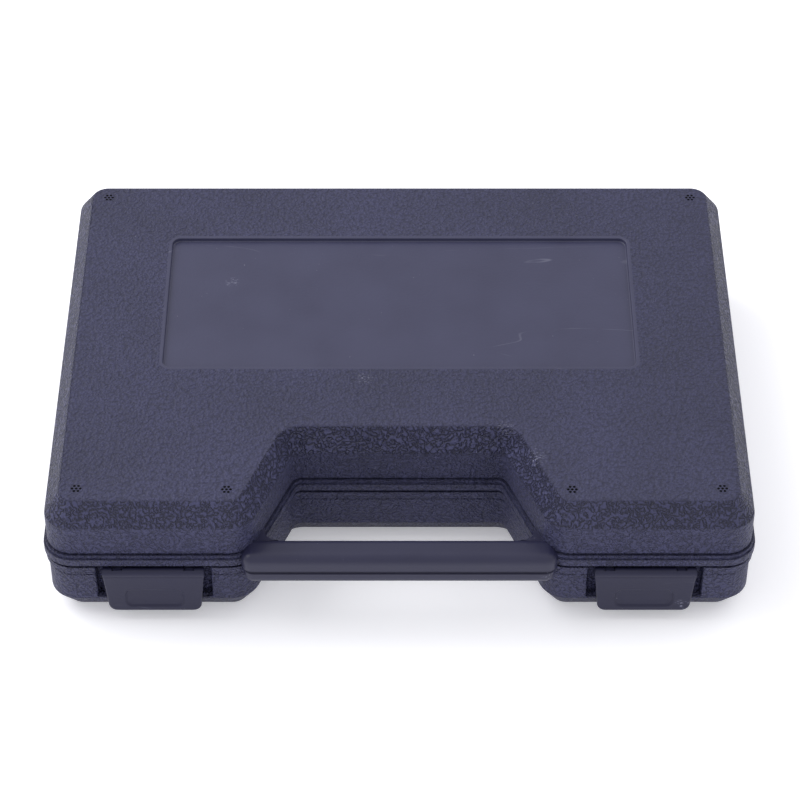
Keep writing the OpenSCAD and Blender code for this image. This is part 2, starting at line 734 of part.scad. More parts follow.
module ratchet_pawl() {
    color([0.55, 0.55, 0.58]) translate([ratchet_x + pawl_x, ratchet_y, gear_floor + fit_play])
        difference() {
            cylinder(r = pawl_r, h = gear_h);
            translate([0, 0, gear_h]) cube([2, 1.2, 4], center = true);
        }
}

// Thumb lever on top of the head, keyed into the pawl below
module reversing_lever() {
    color([0.7, 0.7, 0.73]) translate([ratchet_x + pawl_x, ratchet_y, head_top])
        rotate([0, 0, -lever_turn]) {
            translate([0, 0, fit_play]) cylinder(r = lever_boss_r, h = lever_t);
            translate([0, -lever_w / 2, fit_play]) cube([lever_l, lever_w, lever_t]);
            translate([lever_l, 0, fit_play]) cylinder(r = lever_w / 2, h = 1.3 * lever_t);
            translate([0, 0, -cover_t + fit_play]) cylinder(r = lever_stem_r, h = cover_t + 1);
        }
}

// Nut-driver handle: a square-ended steel shank in a fluted grip
module spinner_shank() {
    color([0.75, 0.75, 0.78]) translate([spinner_x + spinner_l, spinner_y, spinner_z])
        rotate([0, -90, 0]) {
            square_drive(drive_h);
            translate([0, 0, drive_h])
                cylinder(r = bar_r, h = spinner_l - drive_h - shank_end);
        }
}

module spinner_grip() {
    color([0.12, 0.12, 0.14]) translate([spinner_x, spinner_y, spinner_z]) rotate([0, 90, 0])
        difference() {
            union() {
                translate([0, 0, 2 * grip_step]) cylinder(r = grip_r, h = grip_l - 5 * grip_step);
                translate([0, 0, grip_step]) cylinder(r = grip_r - 1.5, h = grip_l - 2.5 * grip_step);
                cylinder(r = grip_r - 4, h = grip_l);
            }
            translate([0, 0, shank_end - fit_play]) cylinder(r = bar_r + pin_play, h = grip_l);
            for (a = [30 : 60 : 330]) rotate([0, 0, a])
                translate([grip_r + grip_flute_r - grip_flute_depth, 0, 2 * grip_step / 3])
                    cylinder(r = grip_flute_r, h = grip_l - 4.5 * grip_step);
        }
}

// Extension bar: a square drive at one end and a socket at the other
module extension_bar(x, y, l) {
    color([0.78, 0.78, 0.8]) translate([x, y, bars_z]) rotate([0, 90, 0]) difference() {
        union() {
            square_drive(drive_h);
            translate([0, 0, drive_h]) cylinder(r = bar_r, h = l - drive_h - socket_end_l / 2);
            translate([0, 0, l - socket_end_l]) cylinder(r = socket_end_r, h = socket_end_l);
            translate([0, 0, drive_h]) cylinder(r = bar_r + bar_collar, h = bar_end_l);
        }
        translate([0, 0, l]) mirror([0, 0, 1]) drive_hole();
    }
}

module tbar_rod() {
    color([0.78, 0.78, 0.8]) translate([tbar_x, bars_y, bars_z]) rotate([0, 90, 0]) {
        cylinder(r = tbar_r, h = tbar_l);
        cylinder(r = bar_r, h = bar_end_l);
        translate([0, 0, tbar_l - bar_end_l]) cylinder(r = bar_r, h = bar_end_l);
    }
}

module tbar_head() {
    color([0.78, 0.78, 0.8]) translate([tbar_x + tbar_l / 2, bars_y, bars_z]) difference() {
        union() {
            translate([0, 0, -tbar_head_w / 2]) cylinder(r = tbar_head_w / 2, h = tbar_head_w);
            translate([0, 0, -tbar_head_w / 2 - drive_h]) square_drive(drive_h + 1);
        }
        rotate([0, 90, 0]) cylinder(r = tbar_r + pin_play, h = 2 * tbar_head_w, center = true);
    }
}

// Adapter from the square drive to the bits' hexagon
module bit_adapter() {
    color([0.78, 0.78, 0.8]) translate([bay_x - adapter_l / 2, bay_y, bars_z])
        rotate([0, 90, 0]) difference() {
            cylinder(r = socket_end_r, h = adapter_l);
            drive_hole();
            translate([0, 0, drive_hole_h + wall]) hexagon(drive + 2 * fit_play, adapter_l);
        }
}

function bit_x(i) = (i < rack_bits ? -1 : 1) * rack_x
    + ((i % rack_bits) - (rack_bits - 1) / 2) * bit_pitch;

module bit_rack(side) {
    color([0.12, 0.12, 0.14]) difference() {
        translate([side * rack_x, bits_y, well_floor])
            linear_extrude(rack_h) polygon(rounded_box(rack_w, rack_d, slot_r));
        for (i = [0 : len(BITS) - 1]) translate([bit_x(i), bits_y, well_floor + rack_floor])
            hexagon(drive + 2 * fit_play, rack_h);
    }
}

module bit(i) {
    kind = BITS[i][1];
    size = BITS[i][2];
    color([0.5, 0.5, 0.53]) translate([bit_x(i), bits_y, well_floor + rack_floor]) {
        hexagon(drive, bit_h - tip_h);
        translate([0, 0, bit_h - tip_h - eps]) {
            if (kind == "hex") hexagon(size, tip_h);
            if (kind == "star") star_tip(size / 2, tip_h);
            if (kind == "slot") intersection() {
                cylinder(r = drive / 2, h = tip_h);
                translate([0, 0, tip_h / 2]) cube([size, blade_t, tip_h + 1], center = true);
            }
            if (kind == "cross") cross_tip(min(size, drive) / 2, tip_h);
        }
    }
}

// Six-lobed star: six round lobes on a core
module star_tip(r, h) {
    cylinder(r = r * 0.75, h = h);
    for (a = [0 : 60 : 300]) rotate([0, 0, a]) translate([r * 0.7, 0, 0])
        cylinder(r = r * 0.3, h = h);
}

// Cross point: four flutes cut from a cone
module cross_tip(r, h) {
    difference() {
        cylinder(r1 = r, r2 = r * 0.35, h = h);
        for (a = [45 : 90 : 315]) rotate([0, 0, a]) translate([r * 0.95, 0, h * 0.35]) rotate([0, -8, 0])
            cylinder(r = r * 0.55, h = h);
    }
}

// Corners of a hexagon whose centre is x from the origin, with level flats
function hexagon_pts(flats, x) = let (r = floor(flats / 2 / cos(30) * 100) / 100)
    [for (a = [0 : 60 : 300]) [x + r * cos(a), r * sin(a)]];

// L-shaped hexagon key lying flat, nested inside the next longer one
module hex_key(k) {
    flats = HEX_KEYS[k][1];
    long = HEX_KEYS[k][2];
    short = key_bay_d - 5 - k * key_step;
    bend = 2 * flats;
    color([0.25, 0.25, 0.27])
        translate([-bay_x - HEX_KEYS[0][2] / 2 + k * key_step,
                   bay_y - key_bay_d / 2 + key_step / 2 + k * key_step, key_floor + flats / 2]) {
            translate([bend, 0, 0]) rotate([90, 0, 90])
                linear_extrude(long - bend) polygon(hexagon_pts(flats, 0));
            translate([0, bend, 0]) rotate([-90, 0, 0])
                linear_extrude(short - bend) polygon(hexagon_pts(flats, 0));
            translate([bend, bend, 0]) rotate([0, 0, 180]) rotate_extrude(angle = 90)
                polygon(hexagon_pts(flats, bend));
        }
}

base_shell();
lid_shell();
tool_tray();
lid_foam();
ratchet_handle();
ratchet_grip();
ratchet_cover();
cover_screws();
drive_gear();
gear_detent_ball();
ratchet_pawl();
reversing_lever();
spinner_shank();
spinner_grip();
extension_bar(long_bar_x, bars_y, long_bar_l);  // extension_bar_long
extension_bar(short_bar_x, short_bar_y, short_bar_l);  // extension_bar_short
tbar_rod();
tbar_head();
bit_adapter();
for (s = SIDES) {
    hinge_pin(s[1]);
    latch_pocket(s[1]);
    latch(s[1]);
    latch_pin(s[1]);
    bit_rack(s[1]);
}
for (i = [0 : len(SOCKETS) - 1]) socket(i);
for (i = [0 : len(BITS) - 1]) bit(i);
for (k = [0 : len(HEX_KEYS) - 1]) hex_key(k);
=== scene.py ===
import math

import bmesh
import bpy
import numpy as np
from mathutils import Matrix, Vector


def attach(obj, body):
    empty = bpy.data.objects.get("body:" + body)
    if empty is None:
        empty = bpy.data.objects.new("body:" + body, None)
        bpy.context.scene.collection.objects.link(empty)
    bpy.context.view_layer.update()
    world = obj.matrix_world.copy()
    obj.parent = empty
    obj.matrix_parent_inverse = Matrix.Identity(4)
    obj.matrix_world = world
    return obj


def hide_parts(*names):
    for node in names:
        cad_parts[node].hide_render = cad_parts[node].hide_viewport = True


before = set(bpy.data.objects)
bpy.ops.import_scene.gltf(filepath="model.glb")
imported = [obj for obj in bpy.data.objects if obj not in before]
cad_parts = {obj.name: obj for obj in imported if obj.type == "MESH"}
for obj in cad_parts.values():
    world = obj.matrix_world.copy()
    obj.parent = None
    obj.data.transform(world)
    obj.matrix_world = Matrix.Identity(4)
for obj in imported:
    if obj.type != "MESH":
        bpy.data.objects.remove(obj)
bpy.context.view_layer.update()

MM = 0.001

# ---- Studio: floor, lamps and camera ----
# A white paper sheet under the case, a large soft lamp high on the left, a weaker one on the
# right, and a long lens that looks down on the handle side from 44 degrees above the floor.
WHITE_PAPER = "#f6f6fa"
PAPER_GLOW = 0.3
WORLD_LIGHT = 0.8


def linear(hex_colour):
    """sRGB hex to linear RGB: c / 12.92 below 0.04045, else ((c + 0.055) / 1.055) ** 2.4."""
    srgb = np.array([int(hex_colour[i:i + 2], 16) for i in (1, 3, 5)]) / 255
    rgb = np.where(srgb <= 0.04045, srgb / 12.92, ((srgb + 0.055) / 1.055) ** 2.4)
    return (*rgb.tolist(), 1.0)


def add_node(tree, kind, settings=None, inputs=None, links=None):
    """One shader node with its settings, its input values and the sockets linked into it."""
    made = tree.nodes.new(kind)
    for name, value in (settings or {}).items():
        setattr(made, name, value)
    for name, value in (inputs or {}).items():
        made.inputs[name].default_value = value
    for name, socket in (links or {}).items():
        tree.links.new(socket, made.inputs[name])
    return made


def empty_material(name):
    material = bpy.data.materials.new(name)
    material.use_nodes = True
    material.node_tree.nodes.clear()
    return material, material.node_tree


def place_in_scene(name, data):
    made = bpy.data.objects.new(name, data)
    bpy.context.scene.collection.objects.link(made)
    return made


def paper_sheet(half):
    """A flat square floor, 2 * half wide, at the height of the case's underside: white
    paper on a light table, so that it glows a little and shadows stay faint."""
    mesh = bpy.data.meshes.new("paper_sheet")
    mesh.from_pydata([(-half, -half, 0), (half, -half, 0), (half, half, 0), (-half, half, 0)],
                     [], [(0, 1, 2, 3)])
    material, tree = empty_material("matt white paper")
    shader = add_node(tree, "ShaderNodeBsdfPrincipled",
                      inputs={"Base Color": linear(WHITE_PAPER), "Roughness": 0.9,
                              "Specular IOR Level": 0.1, "Emission Strength": PAPER_GLOW,
                              "Emission Color": linear(WHITE_PAPER)})
    add_node(tree, "ShaderNodeOutputMaterial", links={"Surface": shader.outputs["BSDF"]})
    mesh.materials.append(material)
    place_in_scene("paper_sheet", mesh)


def soft_lamp(name, place, width, watts):
    data = bpy.data.lights.new(name, "AREA")
    data.shape = "SQUARE"
    data.size = width
    data.energy = watts
    lamp = place_in_scene(name, data)
    lamp.location = place
    lamp.rotation_euler = (-Vector(place)).to_track_quat("-Z", "Y").to_euler()


paper_sheet(3.0)
soft_lamp("key_lamp", (-0.9, 0.35, 0.95), 1.2, 12)
soft_lamp("fill_lamp", (0.9, 0.3, 0.8), 1.0, 3)
world = bpy.data.worlds.new("white_studio")
bpy.context.scene.world = world
world.use_nodes = True
world.node_tree.nodes["Background"].inputs["Color"].default_value = (1, 1, 1, 1)
world.node_tree.nodes["Background"].inputs["Strength"].default_value = WORLD_LIGHT
bpy.context.scene.view_settings.view_transform = "Standard"

CAMERA_UP = math.radians(44)
CAMERA_AWAY, CAMERA_AIM = 1.025, (0.0002, -0.00677, 0.025)      # metres
camera_data = bpy.data.cameras.new("camera")
camera_data.lens = 129.7
camera_data.sensor_width = 36
camera = place_in_scene("camera", camera_data)
camera_back = Vector((0, -math.cos(CAMERA_UP), math.sin(CAMERA_UP)))
camera.location = Vector(CAMERA_AIM) + CAMERA_AWAY * camera_back
camera.rotation_euler = (-camera_back).to_track_quat("-Z", "Y").to_euler()
bpy.context.scene.camera = camera

# ---- Lid moulding ----
# The upper half of the case: an injection-moulded polypropylene shell, 2 mm thick, leather
# grained outside, with a smooth sunk label panel and its half of the smooth handle bar.
# It closes on the base at a stepped rim and turns on two of the five knuckles of each hinge.
SEAM = 25.0
HALF_H = 25.0
WALL_T = 2.0
RIM_OUT, LIP_IN = 1.3, 0.5
CASE_CORNERS = np.array([[-118.7, -86.1], [-50.5, -86.1], [-36, -50.7], [36, -50.7],
                         [50.5, -86.1], [118.7, -86.1], [118.7, 86.1], [-118.7, 86.1]])
TOP_SKIN = 0.03      # the face is drawn this much low, so that the discs of painted pit shade just above it stay below the lid's 50 mm top plane
PANEL_W, PANEL_D, PANEL_Y, PANEL_SINK = 165.0, 68.2, 18.1, 1.5


def round_corners(points, radii, steps, closed=True):
    """A run of straight lines with each corner turned on an arc that touches both its lines.
    With a and b the unit directions from a corner along its lines and h half the angle between
    them, the arc's centre is corner + unit(a + b) * r / sin h and it ends at corner + a, b *
    r / tan h. All corners are worked out together."""
    p = np.asarray(points, float)
    r = np.asarray(radii, float) * np.ones(len(p))
    a, b = np.roll(p, 1, 0) - p, np.roll(p, -1, 0) - p
    a, b = (v / np.linalg.norm(v, axis=1, keepdims=True) for v in (a, b))
    half = np.arccos(np.clip((a * b).sum(1), -1, 1)) / 2
    middle = (a + b) / np.linalg.norm(a + b, axis=1, keepdims=True)
    centre = p + middle * (r / np.sin(half))[:, None]
    u, v = (p + w * (r / np.tan(half))[:, None] - centre for w in (a, b))
    turn = np.arctan2(u[:, 0] * v[:, 1] - u[:, 1] * v[:, 0], (u * v).sum(1))
    angle = np.arctan2(u[:, 1], u[:, 0])[:, None] + turn[:, None] * np.linspace(0, 1, steps + 1)
    arcs = centre[:, None] + r[:, None, None] * np.stack([np.cos(angle), np.sin(angle)], -1)
    if closed:
        return arcs.reshape(-1, 2)
    return np.vstack([p[:1], arcs[1:-1].reshape(-1, 2), p[-1:]])


def drawn_in(corners, d):
    """A closed outline with every side moved to its left by d: corner + d * (m + n) / (1 + m.n),
    with m and n the left normals of the two sides that meet there."""
    p = np.asarray(corners, float)
    a, b = p - np.roll(p, 1, 0), np.roll(p, -1, 0) - p
    m, n = (np.stack([-v[:, 1], v[:, 0]], 1) / np.linalg.norm(v, axis=1, keepdims=True)
            for v in (a, b))
    return p + d * (m + n) / (1 + (m * n).sum(1))[:, None]


def box_corners(w, d, x=0.0, y=0.0):
    return np.array([[-w, -d], [w, -d], [w, d], [-w, d]]) / 2 + [x, y]


def corner_radii(d):
    """Radii of the outer corners, the recess mouth and the recess back, d inside the walls.
    Outer corners tighten from 9 mm to 5.5 mm over the bevel, the recess's back ones widen."""
    return 9 - (d if d < 0 else 0.66 * d), max(10 - d, 1.2), 3.5 + d


def case_outline(d):
    """The case seen from above, d inside its side walls, counter-clockwise, with its hand
    recess."""
    outer, mouth, back = corner_radii(d)
    return round_corners(drawn_in(CASE_CORNERS, d),
                         [outer, mouth, back, back, mouth, outer, outer, outer], 10)


def rings(outline_at, profile, along=2):
    """A profile carried round an outline: row i is outline_at(inset i), at place i along the
    axis numbered along, while the outline fills the other two in the order x, y, z."""
    rows = [np.insert(outline_at(d), along, place, axis=1) for d, place in profile]
    return np.stack(rows)


def piece_from(name, parts, fills, materials, flat_angle=180):
    """One mesh object from grids of points, in mm. Each part is (grid, material number): its
    rows are closed loops, joined to the next row by quads. Each fill is (list of (part, row),
    material number): the flat area inside the first loop and outside the others. The normals
    are then turned outwards, and weighted by area so that flat faces shade flat."""
    points, faces, tints, starts, start = [], [], [], [], 0
    for grid, tint in parts:
        rows, count = grid.shape[:2]
        r = start + np.arange(rows - 1)[:, None] * count
        s = np.arange(count)[None]
        t = (s + 1) % count
        quads = np.stack([r + s, r + t, r + t + count, r + s + count], -1).reshape(-1, 4)
        points.append(grid.reshape(-1, 3))
        faces.append(quads)
        tints.append(np.full(len(quads), tint))
        starts.append((start, count, rows))
        start += rows * count
    mesh = bpy.data.meshes.new(name)
    mesh.from_pydata((np.vstack(points) * MM).tolist(), [], np.vstack(faces).tolist())
    mesh.polygons.foreach_set("material_index", np.concatenate(tints).astype(np.int32))
    bm = bmesh.new()
    bm.from_mesh(mesh)
    bm.verts.ensure_lookup_table()
    for loops, tint in fills:
        edges = []
        for part, row in loops:
            first, count, rows = starts[part]
            first += row % rows * count
            loop = bm.verts[first:first + count]
            edges += [bm.edges.get((loop[i - 1], loop[i])) for i in range(count)]
        if len(loops) == 1:
            made = [bm.faces.new(loop)]
        else:
            made = [f for f in bmesh.ops.triangle_fill(bm, edges=edges, use_beauty=True)["geom"]
                    if isinstance(f, bmesh.types.BMFace)]
        for face in made:
            face.material_index = tint
    bmesh.ops.remove_doubles(bm, verts=bm.verts, dist=1e-7)
    bmesh.ops.recalc_face_normals(bm, faces=bm.faces)
    bm.to_mesh(mesh)
    bm.free()
    mesh.polygons.foreach_set("use_smooth", np.ones(len(mesh.polygons), bool))
    mesh.set_sharp_from_angle(angle=math.radians(flat_angle))
    for material in materials:
        mesh.materials.append(material)
    made = place_in_scene(name, mesh)
    weighted = made.modifiers.new("flat faces shade flat", "WEIGHTED_NORMAL")
    weighted.keep_sharp = True
    weighted.weight = 80
    return made


def object_place(tree):
    return add_node(tree, "ShaderNodeTexCoord").outputs["Object"]


def noise(tree, where, scale, detail=2.0):
    """Noise with features about 1 / scale metres across."""
    return add_node(tree, "ShaderNodeTexNoise", inputs={"Scale": scale, "Detail": detail},
                    links={"Vector": where}).outputs["Fac"]


def ramp(tree, value, low, high, to_low=0.0, to_high=1.0):
    return add_node(tree, "ShaderNodeMapRange",
                    inputs={"From Min": low, "From Max": high, "To Min": to_low,
                            "To Max": to_high}, links={"Value": value}).outputs["Result"]


def math_node(tree, operation, *terms):
    """A Math node: each term is a socket to link or a number to set."""
    made = add_node(tree, "ShaderNodeMath", {"operation": operation})
    for i, term in enumerate(terms):
        if isinstance(term, (int, float)):
            made.inputs[i].default_value = term
        else:
            tree.links.new(term, made.inputs[i])
    return made.outputs["Value"]


def mixed(tree, share, a, b):
    """Colour a goes over into colour b by share. a and b are sRGB hex or colour sockets."""
    hexes = {i: linear(c) for i, c in ((6, a), (7, b)) if isinstance(c, str)}
    links = {i: c for i, c in ((6, a), (7, b)) if not isinstance(c, str)}
    return add_node(tree, "ShaderNodeMix", {"data_type": "RGBA"}, hexes,
                    {0: share, **links}).outputs[2]


def finish_material(material, tree, colour, roughness, height, depth_mm, strength, **inputs):
    """Closes a material: a bump of depth_mm from height, and a Principled shader."""
    bump = add_node(tree, "ShaderNodeBump",
                    inputs={"Strength": strength, "Distance": depth_mm * MM},
                    links={"Height": height})
    named = {name.replace("_", " "): value for name, value in inputs.items()}
    shader = add_node(tree, "ShaderNodeBsdfPrincipled", inputs=named,
                      links={"Base Color": colour, "Roughness": roughness,
                             "Normal": bump.outputs["Normal"]})
    add_node(tree, "ShaderNodeOutputMaterial", links={"Surface": shader.outputs["BSDF"]})
    return material


def scuff_mask(tree, where, spots):
    """Pale rubbed marks: broken streaks inside a few round spots, each (x, y, z, radius) in
    mm, largest share near a spot's middle."""
    streak = add_node(tree, "ShaderNodeMapping", inputs={"Scale": (900, 2600, 1500)},
                      links={"Vector": where}).outputs["Vector"]
    broken = ramp(tree, noise(tree, streak, 1.0, 3.0), 0.56, 0.70)
    total = 0.0
    for x, y, z, radius in spots:
        away = add_node(tree, "ShaderNodeVectorMath", {"operation": "DISTANCE"},
                        {1: (x * MM, y * MM, z * MM)}, {0: where}).outputs["Value"]
        total = math_node(tree, "MAXIMUM", total, ramp(tree, away, radius * MM, 0.2 * radius * MM))
    return math_node(tree, "MULTIPLY", total, broken)


def grained_polypropylene(scuffs):
    """Polypropylene moulded against an etched leather grain: dull blue-grey. Level faces carry
    fine pebbles about 1.2 mm across; bevels a coarser grain of worm-like ridges 1 to 2 mm long,
    and side walls a weaker one. Painted shade darkens the grain's hollows, and more deeply
    between the ridges on bevels. Small rubbed specks show all over, and pale scuffs on
    corners that take knocks."""
    material, tree = empty_material("leather grained polypropylene")
    where = object_place(tree)
    warp = add_node(tree, "ShaderNodeTexNoise", inputs={"Scale": 420.0, "Detail": 2.0},
                    links={"Vector": where})
    bent = add_node(tree, "ShaderNodeVectorMath", {"operation": "MULTIPLY_ADD"},
                    {1: (1.1 * MM,) * 3}, {0: warp.outputs["Color"], 2: where})
    pebbles = add_node(tree, "ShaderNodeTexVoronoi", {"feature": "SMOOTH_F1"},
                       {"Scale": 820.0, "Smoothness": 0.6}, {"Vector": bent.outputs["Vector"]})
    level = math_node(tree, "ADD", math_node(tree, "MULTIPLY", pebbles.outputs["Distance"], -0.8),
                      noise(tree, where, 1300.0, 3.0))
    worms = ramp(tree, math_node(tree, "ABSOLUTE", math_node(
        tree, "SUBTRACT", noise(tree, bent.outputs["Vector"], 600.0, 1.5), 0.5)), 0.0, 0.12)
    steep_relief = math_node(tree, "ADD", math_node(tree, "MULTIPLY", worms, 1.3),
                             math_node(tree, "MULTIPLY", level, 0.6))
    facing = add_node(tree, "ShaderNodeSeparateXYZ",
                      links={0: add_node(tree, "ShaderNodeTexCoord").outputs["Normal"]})
    tilt = math_node(tree, "ABSOLUTE", facing.outputs["Z"])
    steep = math_node(tree, "MULTIPLY", ramp(tree, tilt, 0.97, 0.85),
                      ramp(tree, tilt, 0.05, 0.45, 0.35, 1.0))
    relief = add_node(tree, "ShaderNodeMix", {"data_type": "FLOAT"},
                      links={0: steep, 2: level, 3: steep_relief}).outputs[0]
    cloud = noise(tree, where, 26.0, 5.0)
    tone = mixed(tree, ramp(tree, cloud, 0.35, 0.65), "#353656", "#3f4062")
    # painted shade: the grain's low places, by relief height, are darkened towards #16172c
    tone = mixed(tree, ramp(tree, relief, 0.45, -0.1, 0.0, 0.6), tone, "#16172c")
    # painted shade: on bevels and walls the gaps between the worm ridges are darkened further
    tone = mixed(tree, math_node(tree, "MULTIPLY", steep, ramp(tree, worms, 0.5, 0.1, 0.0, 0.6)),
                 tone, "#0f0f20")
    speck = ramp(tree, noise(tree, where, 700.0, 1.0), 0.80, 0.84, 0.0, 0.5)
    tone = mixed(tree, speck, tone, "#8b8ca4")
    tone = mixed(tree, scuff_mask(tree, where, scuffs), tone, "#9293ab")
    rough = ramp(tree, cloud, 0.3, 0.7, 0.46, 0.56)
    return finish_material(material, tree, tone, rough, relief, 0.85, 1.0, IOR=1.49,
                           Specular_IOR_Level=0.38)


def smooth_polypropylene(name, dark, light, scuffs, gloss=0.5):
    """Polypropylene moulded against a plain polished tool: an even satin face with a faint
    orange peel, a few long wavy hairline scratches, small specks, and a gloss that wanders a
    little with handling."""
    material, tree = empty_material(name)
    where = object_place(tree)
    patch = noise(tree, where, 45.0, 5.0)
    long_way = add_node(tree, "ShaderNodeMapping",
                        inputs={"Scale": (7.0, 26.0, 26.0), "Rotation": (0, 0, 0.35)},
                        links={"Vector": where}).outputs["Vector"]
    line = math_node(tree, "ABSOLUTE", math_node(tree, "SUBTRACT",
                                                 noise(tree, long_way, 1.0, 2.5), 0.5))
    hair = math_node(tree, "MULTIPLY", ramp(tree, line, 0.0022, 0.0006),
                     ramp(tree, noise(tree, where, 60.0, 2.0), 0.50, 0.65, 0.0, 0.14))
    speck = ramp(tree, noise(tree, where, 900.0, 1.0), 0.80, 0.84, 0.0, 0.35)
    tone = mixed(tree, patch, dark, light)
    tone = mixed(tree, math_node(tree, "MAXIMUM", hair, speck), tone, "#a9aabd")
    tone = mixed(tree, scuff_mask(tree, where, scuffs), tone, "#9293ab")
    return finish_material(material, tree, tone, ramp(tree, patch, 0.3, 0.7, 0.34, 0.46),
                           noise(tree, where, 900.0, 4.0), 0.1, 0.6, IOR=1.49,
                           Specular_IOR_Level=gloss)


# Rubbed places, as (x, y, z, radius) in mm: recess corners, panel edge, rim, handle end
EDGE_SCUFFS = [(45.5, -60.0, 50.0, 5.0), (36.0, -46.0, 50.0, 3.5), (-12.0, -22.0, 50.0, 3.5),
               (118.0, -80.0, 30.0, 4.0)]
HANDLE_SCUFFS = [(51.0, -89.0, 21.0, 4.0)]
PANEL_SCUFFS = [(-60.0, 30.0, 48.5, 3.0)]
grained = grained_polypropylene(EDGE_SCUFFS)
smooth = smooth_polypropylene("smooth polypropylene", "#2e2e48", "#3a3b57", PANEL_SCUFFS)
smooth_dark = smooth_polypropylene("smooth handle polypropylene", "#24243c", "#2b2b45",
                                   HANDLE_SCUFFS, 0.42)



def outside(rim, top, gap):
    """The outside from the seam over the open joint line, the rim, its stepped-back strip, the
    dark groove at the foot of the wall, the wall, the bevel and the flat face, as (inset,
    height above seam)."""
    return round_corners([(WALL_T, 0.0), (0.7, 0.0), (0.6, gap), (-rim, gap), (-rim, 3.3),
                          (-rim / 2, 3.3), (-rim / 2, 4.7), (-0.1, 4.7), (0.45, 4.3),
                          (0.0, 5.4), (0.0, 17.0), (5.3, top), (7.2, top)],
                         [0.1, 0.02, 0.02, 0.3, 0.3, 0.1, 0.3, 0.1, 0.1, 0.2, 1.6, 1.5, 0.1],
                         5, closed=False)


inside = round_corners([(7.4, HALF_H - WALL_T), (6.0, HALF_H - WALL_T), (2.4, 17.4), (2.0, 15.0),
                        (2.0, 0.0)], [0.1, 0.8, 1.5, 0.5, 0.1], 3, closed=False)[:-1]


def panel_outline(d):
    return round_corners(box_corners(PANEL_W - 2 * d, PANEL_D - 2 * d, 0, PANEL_Y),
                         max(3 - d, 0.6), 6)


panel_profile = round_corners([(-1.2, HALF_H - TOP_SKIN), (0, HALF_H - TOP_SKIN),
                               (0.15, HALF_H - PANEL_SINK), (1.6, HALF_H - PANEL_SINK)],
                              [0.1, 0.35, 0.5, 0.1], 4, closed=False)
BAR_W, BAR_D, BAR_H, BAR_Y = 106.0, 10.5, 6.5, -84.85
LATCH_X, EAR_X, PIVOT_Y, PIVOT_Z = 82.8, 12.1, -87.1, 22.0


def handle_rings(side, back):
    """One half of the grip bar: its plan with rounded ends, all set back by back, drawn in over
    a rounded outer edge while it leaves the seam by BAR_H. side is +1 for the upper half. The
    set-back half is also rebated at the joint, which shows as a dark line."""
    rebate = 1.6 * back
    edge = round_corners([(0.0, 0.0), (0.0, BAR_H), (4.4, BAR_H)], [0.1, 3.3, 0.1], 9, closed=False)
    edge = np.vstack([[[3.4, 0.3], [rebate + 0.1, 0.3], [rebate, 0.4], [rebate, 0.4 + rebate],
                       [0.1, 0.5 + rebate], [0.0, 0.7 + rebate]], edge[edge[:, 1] > 2.5]])
    return rings(lambda d: round_corners(box_corners(BAR_W - 2 * (d + back),
                                                     BAR_D - 2 * (d + back), 0, BAR_Y),
                                         max(3.6 - d, 0.3), 8), edge * [1, side] + [0, SEAM])


def web_rings(end, side):
    """The curved web that fills the corner between the bar's back edge and the recess wall, on
    an arc of 5 mm radius, up to 5.6 mm from the seam. end is -1 for the left one."""
    arc = round_corners([(0, -80.1), (48.04, -80.1), (33.54, -44.7)], [0.1, 5.0, 0.1], 8,
                        closed=False)[1:-1]
    plan = np.vstack([[[49.6, -81.4]], arc]) * [end, 1]
    rise = np.array([(0.0, 0.05), (0.0, 5.1), (0.15, 5.45), (0.5, 5.6)]) * [1, side] + [0, SEAM]
    middle = np.array([end * 47.5, -80.5])
    return rings(lambda d: plan + (middle - plan) * 0.3 * d, rise)


def knuckle_rings(x, side):
    """One hinge knuckle: an eye of 2.8 mm radius with its arm to the wall, seen along X, its
    arm flat on the seam, with a small bevel at both ends. side is +1 for the lid's."""
    section = np.array([(87.0, 0.0), (88.0, 0.0), (88.0, -2.8), (93.6, -2.8), (93.6, 2.8),
                        (87.0, 2.8)]) * [1, side] + [0, SEAM]
    radii = np.array([0.2, 0.05, 2.7, 2.75, 2.75, 0.2])
    ends = [(0.3, x), (0.0, x + 0.3), (0.0, x + 9.4), (0.3, x + 9.7)]
    return rings(lambda d: round_corners(drawn_in(section[::side], d),
                                         np.maximum(radii[::side] - d, 0.03), 6), ends, along=0)


HINGE_X, KNUCKLE_STEP, HINGE_KNUCKLES = 70.0, 10.0, 5


def knuckles(owner, side):
    """The knuckles of both hinges that one half owns: every second of the five."""
    first = 0.15 - HINGE_KNUCKLES * KNUCKLE_STEP / 2
    return [knuckle_rings(hinge * HINGE_X + first + KNUCKLE_STEP * i, side)
            for hinge in (-1, 1) for i in range(HINGE_KNUCKLES) if i % 2 == owner]


def ear_rings(x):
    """The hooked ear that carries a latch pin, seen along X and 3 mm thick."""
    section = np.array([(-1.1, -1.1), (3.5, -1.1), (3.5, 4.0), (2.2, 4.0), (2.2, 0.3), (1.05, 0.3),
                        (1.05, 1.1), (-1.1, 1.1)]) + [PIVOT_Y, PIVOT_Z]
    radii = [1.0, 0.3, 0.1, 0.1, 0.3, 0.05, 0.04, 1.0]
    return rings(lambda d: round_corners(section, radii, 4), [(0, x - 1.5), (0, x + 1.5)], along=0)


def closed_ends(parts, first=0, tint=0):
    """The fills that close the first and last loop of each part."""
    return [([(first + i, row)], tint) for i in range(len(parts)) for row in (0, -1)]


